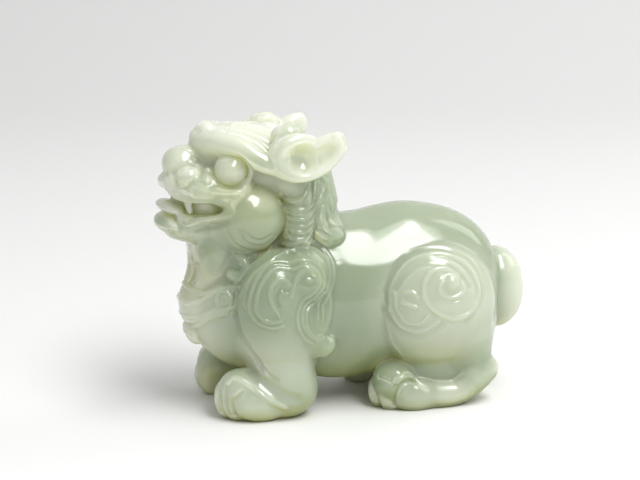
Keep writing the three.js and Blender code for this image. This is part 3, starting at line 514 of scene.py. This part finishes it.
class Grid:  # samples of a form on an even grid over the left half, one layer past the mirror plane
    def __init__(self, form, step, everywhere=False):
        low, high = (np.array(corner, float) for corner in carving["box"])
        self.step = step
        self.low = low - (step / 2, 0, 0)
        self.counts = np.ceil((high - self.low) / step).astype(int) + 1
        self.values = np.empty(self.counts, single)
        side = 16  # grid points along each side of a block, all worked out in one go
        nx, ny, nz = self.counts
        blocks = [(i, j, k) for i in range(0, nx, side) for j in range(0, ny, side)
                  for k in range(0, nz, side)]
        radius = side * step * math.sqrt(3) / 2
        middles = np.array([self.low + step * (np.array(b) + (side - 1) / 2) for b in blocks], single)
        rough = form.at(middles.T)

        def fill(number):
            start = np.array(blocks[number])
            stop = np.minimum(start + side, self.counts)
            part = tuple(slice(a, b) for a, b in zip(start, stop))
            if not everywhere and abs(rough[number]) > 1.5 * radius + 2:  # no skin in this block
                self.values[part] = rough[number]
                return
            axes = [self.low[i] + step * np.arange(start[i], stop[i]) for i in range(3)]
            p = np.stack(np.meshgrid(*axes, indexing="ij")).reshape(3, -1).astype(single)
            p[0] = np.abs(p[0])
            d = np.maximum(form.distance(p, middles[number], radius), carving["soleHeight"] - p[2])
            self.values[part] = d.reshape(stop - start)

        with ThreadPoolExecutor(4) as pool:
            list(pool.map(fill, range(len(blocks))))

    def at(self, points):  # between the samples
        q = (points * (np.sign(points[:, :1]) * (1, 0, 0) + (0, 1, 1)) - self.low) / self.step
        cell = np.clip(np.floor(q).astype(int), 0, self.counts - 2)
        t = np.clip(q - cell, 0, 1)
        total = 0
        for corner in range(8):
            bits = [(corner >> n) & 1 for n in range(3)]
            weight = np.prod([t[:, n] if bits[n] else 1 - t[:, n] for n in range(3)], axis=0)
            total = total + weight * self.values[tuple(cell[:, n] + bits[n] for n in range(3))]
        return total

    def slope(self, points):
        h = self.step * 0.75
        rises = [self.at(points + h * side) - self.at(points - h * side) for side in np.eye(3)]
        return np.stack(rises, axis=1) / (2 * h)

    def skin(self):  # a point in each cell that the surface passes through, joined across cell walls
        v = self.values
        corners = [v[a:a - 1 or None, b:b - 1 or None, c:c - 1 or None]
                   for a in (0, 1) for b in (0, 1) for c in (0, 1)]
        inside = sum((c < 0).astype(np.uint8) for c in corners)
        active = (inside > 0) & (inside < 8)
        cells = np.argwhere(active)
        number = np.full(active.shape, -1, np.int32)
        number[active] = np.arange(len(cells))
        values = np.stack([c[active] for c in corners])
        # the point is the average of where the surface crosses the cell's twelve edges
        place = np.zeros((len(cells), 3))
        crossings = np.zeros((len(cells), 1))
        for a in range(8):
            for n in range(3):
                b = a | (4 >> n)
                if b == a:
                    continue
                crossed = (values[a] < 0) != (values[b] < 0)
                t = np.where(crossed, values[a] / np.where(crossed, values[a] - values[b], 1), 0)
                at = np.array([(a >> 2) & 1, (a >> 1) & 1, a & 1], float) + np.zeros((len(cells), 1))
                at[:, n] += t
                place += np.where(crossed[:, None], at, 0)
                crossings += crossed[:, None]
        points = self.low + self.step * (cells + place / crossings)
        points[cells[:, 0] == 0, 0] = 0
        # a face across each grid edge that passes through the surface
        quads = []
        for n in range(3):
            near = [slice(1, -1)] * 3
            far = [slice(1, -1)] * 3
            near[n] = slice(0, -1)
            far[n] = slice(1, None)
            a, b = v[tuple(near)] < 0, v[tuple(far)] < 0
            if n == 0:
                a, b = a[1:], b[1:]
            for starts, order in ((a & ~b, (0, 1, 3, 2)), (b & ~a, (0, 2, 3, 1))):
                edge = np.argwhere(starts) + 1
                edge[:, n] -= 0 if n == 0 else 1
                u, w = [m for m in range(3) if m != n]
                if n == 1:
                    u, w = w, u
                around = []  # the four cells that share this edge
                for du, dw in ((1, 1), (0, 1), (1, 0), (0, 0)):
                    cell = edge.copy()
                    cell[:, u] -= du
                    cell[:, w] -= dw
                    around.append(number[tuple(cell.T)])
                quads.append(np.stack(around, axis=1)[:, order])
        quads = np.vstack(quads)
        return points, np.vstack([quads[:, [0, 1, 2]], quads[:, [0, 2, 3]]])


def meshFrom(name, points, faces):
    mesh = bpy.data.meshes.new(name)
    mesh.vertices.add(len(points))
    mesh.vertices.foreach_set("co", np.asarray(points, single).ravel())
    mesh.loops.add(faces.size)
    mesh.loops.foreach_set("vertex_index", faces.astype(np.int32).ravel())
    mesh.polygons.add(len(faces))
    mesh.polygons.foreach_set("loop_start", np.arange(0, faces.size, 3, dtype=np.int32))
    mesh.polygons.foreach_set("use_smooth", np.ones(len(faces), bool))
    mesh.update(calc_edges=True)
    return mesh


def thinned(points, faces, count):  # drops the triangles that the shape can do without
    piece = bpy.data.objects.new("thinned", meshFrom("thinned", points, faces))  # only for a while
    bpy.context.scene.collection.objects.link(piece)
    fewer = piece.modifiers.new("fewer", "DECIMATE")
    fewer.ratio = min(1, count / len(faces))
    mesh = bpy.data.meshes.new_from_object(piece.evaluated_get(bpy.context.evaluated_depsgraph_get()))
    mesh.calc_loop_triangles()
    points = np.empty(len(mesh.vertices) * 3, single)
    mesh.vertices.foreach_get("co", points)
    faces = np.empty(len(mesh.loop_triangles) * 3, np.int32)
    mesh.loop_triangles.foreach_get("vertices", faces)
    bpy.data.objects.remove(piece)
    bpy.data.meshes.remove(mesh)
    return points.reshape(-1, 3).astype(float), faces.reshape(-1, 3)


stone = {
    "openReach": (0.8, 1.6, 3),  # mm off the surface, to find the hollows
    "depthReach": (1, 2, 4, 6, 9, 12, 16, 20),  # mm into the stone, to find where it's thin
    "depthStep": 1.2,  # mm between the points of the grid for that
    "underShadeFade": (7, 21),  # mm, the heights over which the painted shade of the underside goes
    "pale": (  # where the stone is made lighter, partly its own paler tone and partly painted light, glow through thin parts and brightening of spots in shade such as the mouth, the lower chest and behind the eye: middle, half sizes, how much
        ((0, -24, 68), (22, 20, 13), 0.82),
        ((17, -11, 65), (8, 15, 10), 0.54),
        ((0, -39, 57), (14, 12, 12), 0.6),
        ((10, -28.5, 61), (9, 8, 7), 0.55),
        ((0, -28, 54), (24, 24, 18), 0.24),
        ((17, -20, 57), (8, 10, 7), 0.5),
        ((6, -33, 52), (7, 7, 3.4), 0.6),
        ((5, -28, 4), (7, 12, 8), 0.4),
        ((15, 22, 27), (14, 20, 18), 0.52),
        ((0, 15, 50), (26, 34, 16), 0.12),
        ((0, 44, 26), (12, 9, 14), 0.75),
        ((14, -26, 6), (12, 16, 13), 0.3),
        ((14, -19, 14), (9, 12, 16), 0.42),
        ((0, -34, 27), (15, 15, 22), 0.55),
    ),
    "olive": (  # and where the underside's painted shade colour is laid as well: painted shade below the jaw and between the front paws, and on the head partly its own yellower tone, partly painted shade
        ((4, -25, 53), (26, 16, 15), 0.26),
        ((0, -34, 38), (14, 12, 14), 0.28),
        ((5, -28, 4), (7, 12, 8), 0.4),
    ),
}


def strongest(points, patches):  # the most that any patch gives at each point
    values = []
    for middle, halfSizes, strength in patches:
        near = np.linalg.norm((points - middle) / halfSizes, axis=1)
        t = np.clip((1.1 - near) / 0.7, 0, 1)
        values.append(strength * t * t * (3 - 2 * t))
    return np.max(values, axis=0)


def stoneValues(grid, points, normals):  # what the material is told at each point
    whole = Grid(beast, stone["depthStep"], everywhere=True)
    opening = [np.clip(grid.at(points + s * normals) / s, -1, 1) for s in stone["openReach"]]
    depths = [-whole.at(points - s * normals) for s in stone["depthReach"]]
    low, high = stone["underShadeFade"]
    # painted shade: the sides that face down are darkened, and less so the higher they are
    underShade = 1 - np.clip((normals[:, 2] + 0.9) / 0.9, 0, 1)
    underShade *= 1 - 0.8 * np.clip((points[:, 2] - low) / (high - low), 0, 1)
    return {
        # how far each point lies in a cut, which sets the painted shade and glow of the cuts
        "crevice": 1 - np.mean(opening, axis=0),
        "depth": np.max(depths, axis=0),
        "underShade": np.maximum(underShade, strongest(points, stone["olive"])),
        "pale": strongest(points, stone["pale"]),
    }


def settled(grid, points, middle):  # moves the points onto the surface, and finds the normals there
    for _ in range(2):
        slope = grid.slope(points)
        step = -slope * (grid.at(points) / np.maximum((slope**2).sum(1), 0.2))[:, None]
        points += np.clip(step, -0.2, 0.2)  # mm
        points[middle, 0] = 0
    points[:, 2] = np.maximum(points[:, 2], carving["soleHeight"])
    normals = grid.slope(points)
    normals[middle, 0] = 0
    return points, normals / np.linalg.norm(normals, axis=1)[:, None]


def makeTeaPet():
    for carve in (carveBody, carveHindLeg, carveForeleg, carveTail, carveMane, carveSkull, carveMouth,
                  carveNose, carveBrow, carveEar, carveBeard, carveRibbon, carveScrolls,
                  lineHaunch, lineShoulder, lineFeet, lineMane, lineNape, lineHead, lineChest,
                  layFineLines):
        carve()
    print("forms laid out:", len(beast.steps), "and fine lines:", len(fineLines))
    grid = Grid(beast, carving["step"])
    points, faces = grid.skin()
    print("skin:", len(faces), "triangles on the half")
    points, faces = thinned(points, faces, carving["triangles"] / 2)
    middle = points[:, 0] < 0.02
    points, normals = settled(grid, points, middle)
    values = stoneValues(grid, points, normals)
    # the mirror image, joined along the middle
    other = np.arange(len(points))
    other[~middle] = len(points) + np.arange((~middle).sum())
    mirror = np.array([-1, 1, 1])
    allPoints = np.vstack([points, points[~middle] * mirror])
    allNormals = np.vstack([normals, normals[~middle] * mirror])
    allFaces = np.vstack([faces, other[faces][:, ::-1]])
    # from the carving's millimetres to the frame's metres
    low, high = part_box("tea_pet")
    allPoints -= (0, (allPoints[:, 1].min() + allPoints[:, 1].max()) / 2, carving["soleHeight"])
    allPoints = allPoints / 1000 + ((low.x + high.x) / 2, (low.y + high.y) / 2, low.z)
    mesh = meshFrom("jade_tea_pet", allPoints, allFaces)
    mesh.normals_split_custom_set_from_vertices(allNormals)
    for name, value in values.items():
        layer = mesh.attributes.new(name, "FLOAT", "POINT")
        layer.data.foreach_set("value", np.concatenate([value, value[~middle]]).astype(single))
    print("tea pet:", len(allFaces), "triangles")
    piece = bpy.data.objects.new("jade_tea_pet", mesh)
    bpy.context.scene.collection.objects.link(piece)
    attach(piece, "root")
    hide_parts("tea_pet")
    return piece


# Materials

class Shade:  # wraps a socket, so that shader maths reads as plain maths
    def __init__(self, tree, socket=None):
        self.tree = tree
        self.socket = socket

    def node(self, kind, settings=None, inputs=None, output=0):
        made = self.tree.nodes.new(kind)
        for name, value in (settings or {}).items():
            setattr(made, name, value)
        for name, value in (inputs or {}).items():
            if isinstance(value, Shade):
                self.tree.links.new(value.socket, made.inputs[name])
            else:
                made.inputs[name].default_value = value
        return Shade(self.tree, made.outputs[output])

    def maths(self, operation, *values):
        return self.node("ShaderNodeMath", {"operation": operation}, dict(enumerate(values)))

    def __sub__(self, other):
        return self.maths("SUBTRACT", self, other)

    def __rsub__(self, other):
        return self.maths("SUBTRACT", other, self)

    def __mul__(self, other):
        return self.maths("MULTIPLY", self, other)

    def __rmul__(self, other):
        return self.maths("MULTIPLY", other, self)

    def between(self, low, high):  # 0 below low, 1 above high, smooth between
        return self.node("ShaderNodeMapRange", {"interpolation_type": "SMOOTHSTEP"},
                         {"Value": self, "From Min": low, "From Max": high})

    def mixed(self, first, second, factor, blend="MIX"):
        return self.node("ShaderNodeMix", {"data_type": "RGBA", "blend_type": blend},
                         {"Factor": factor, 6: first, 7: second}, output=2)


jade = {
    "thick": (0.315, 0.378, 0.256),  # colour of the stone where it's thick
    "pale": (0.825, 0.845, 0.73),  # of its lighter zones, partly its own paler tone and partly painted light
    "thin": (0.68, 0.71, 0.58),  # of edges and tips, where light comes through
    "thinDepth": (0.4, 5),  # mm of stone behind the surface, from thin to thick
    "cutShade": (0.72, 0.73, 0.46),  # painted shade and glow at the bottoms of the cuts, the olive that light takes on deep in them
    "cutShadeRange": (0.3, 1.2),  # how far something is in a cut, from not at all to fully
    "cutShadeShare": 0.6,
    "underShade": (0.88, 0.83, 0.32),  # painted shade: what the sides that face the floor leave of the colour
    "roughness": 0.11,
    "refraction": 1.66,
    "glow": 0.009,  # m that light goes on inside the stone
    "glowByColour": (1, 1, 0.85),
}


def jadeMaterial():
    material = bpy.data.materials.new("jade")
    material.use_nodes = True
    tree = material.node_tree
    shader = tree.nodes["Principled BSDF"]
    shade = Shade(tree)
    depth, crevice, underShade, pale = (shade.node("ShaderNodeAttribute", {"attribute_name": name}, output=2)
                                   for name in ("depth", "crevice", "underShade", "pale"))
    thick, light, thin, cutShade, underShadeTint = ((*jade[name], 1)
                                        for name in ("thick", "pale", "thin", "cutShade", "underShade"))
    # lighter zones: partly the stone's own paler tone, partly painted light
    colour = shade.mixed(thick, light, pale)
    colour = shade.mixed(thin, colour, depth.between(*jade["thinDepth"]))
    # painted shade and glow in the cuts
    colour = shade.mixed(colour, cutShade, crevice.between(*jade["cutShadeRange"]) * jade["cutShadeShare"])
    # painted shade: the sides that face the floor darker and yellower
    colour = shade.mixed(colour, underShadeTint, underShade, "MULTIPLY")
    tree.links.new(colour.socket, shader.inputs["Base Color"])
    shader.inputs["Roughness"].default_value = jade["roughness"]
    shader.inputs["IOR"].default_value = jade["refraction"]
    shader.inputs["Subsurface Weight"].default_value = 1
    shader.inputs["Subsurface Radius"].default_value = jade["glowByColour"]
    shader.inputs["Subsurface Scale"].default_value = jade["glow"]
    print("material: jade")
    return material


# Floor, lights and camera

stage = {
    "floor": (0.85, 0.85, 0.845),
    "floorRoughness": 0.6,
    "floorSide": 4.0,  # m to each side, in front and up
    "floorBend": 0.5,  # m behind the middle where it turns up, and the radius of the turn
    "world": 0.45,  # strength of the white all around
    "distance": 0.433,  # m from the camera to the middle of the view
    "lens": 100,
    "azimuth": 74,
    "elevation": 12,
    "target": (0, -0.0061, 0.0395),
}

# Place and size in m, power in W, and the spot it faces if that isn't straight down. The inner overhead
# light lies in the outer one, so that their reflection fades at its edge.
lights = {
    "overhead": ((0.6, 0.26, 0.93), (1.42, 0.52), 5, None),
    "overheadInner": ((0.6, 0.26, 0.925), (1.24, 0.36), 7.5, None),
    "overheadBack": ((-0.3, 1, 0.9), (0.36, 1), 1.7, (0, 0, 0.03)),
    "dome": ((-0.3, -0.5, 1.4), (3.4, 3.4), 3.6, None),
}


def makeFloor():
    side, bend = stage["floorSide"], stage["floorBend"]
    turns = np.linspace(0, math.pi / 2, 12)[1:]
    profile = [(-side, 0), (bend, 0)]
    profile += [(bend + bend * math.sin(a), bend - bend * math.cos(a)) for a in turns]
    profile += [(2 * bend, side)]
    azimuth = math.radians(stage["azimuth"])
    away = Vector((-math.sin(azimuth), math.cos(azimuth), 0))
    across = Vector((away.y, -away.x, 0))
    points = [tuple(away * d + across * s * side + Vector((0, 0, h))) for d, h in profile for s in (-1, 1)]
    faces = [(2 * i, 2 * i + 1, 2 * i + 3, 2 * i + 2) for i in range(len(profile) - 1)]
    mesh = bpy.data.meshes.new("floor")
    mesh.from_pydata(points, [], faces)
    mesh.polygons.foreach_set("use_smooth", np.ones(len(faces), bool))
    floor = bpy.data.objects.new("floor", mesh)
    bpy.context.scene.collection.objects.link(floor)
    material = bpy.data.materials.new("floor")
    material.use_nodes = True
    shader = material.node_tree.nodes["Principled BSDF"]
    shader.inputs["Base Color"].default_value = (*stage["floor"], 1)
    shader.inputs["Roughness"].default_value = stage["floorRoughness"]
    floor.data.materials.append(material)


def makeLight(name, place, size, power, aim):
    light = bpy.data.lights.new(name, "AREA")
    light.shape = "ELLIPSE"
    light.size, light.size_y = size
    light.energy = power
    holder = bpy.data.objects.new(name, light)
    bpy.context.scene.collection.objects.link(holder)
    holder.location = place
    if aim:
        holder.rotation_euler = (Vector(aim) - holder.location).to_track_quat("-Z", "Y").to_euler()


def makeWorld():
    world = bpy.data.worlds.new("studio")
    bpy.context.scene.world = world
    world.use_nodes = True
    background = world.node_tree.nodes["Background"]
    background.inputs["Color"].default_value = (1, 1, 1, 1)
    background.inputs["Strength"].default_value = stage["world"]


def makeCamera():
    camera = bpy.data.cameras.new("camera")
    camera.lens = stage["lens"]
    camera.sensor_width = 36
    camera.clip_start = 0.01
    holder = bpy.data.objects.new("camera", camera)
    bpy.context.scene.collection.objects.link(holder)
    a, e = math.radians(stage["azimuth"]), math.radians(stage["elevation"])
    towards = Vector((math.sin(a) * math.cos(e), -math.cos(a) * math.cos(e), math.sin(e)))
    target = Vector(stage["target"])
    holder.location = target + towards * stage["distance"]
    holder.rotation_euler = (target - holder.location).to_track_quat("-Z", "Y").to_euler()
    bpy.context.scene.camera = holder
    bpy.context.scene.view_settings.view_transform = "Standard"


teaPet = makeTeaPet()
teaPet.data.materials.append(jadeMaterial())
makeFloor()
for lightName, settings in lights.items():
    makeLight(lightName, *settings)
makeWorld()
makeCamera()
print("stage: floor,", len(lights), "lights, world and camera")
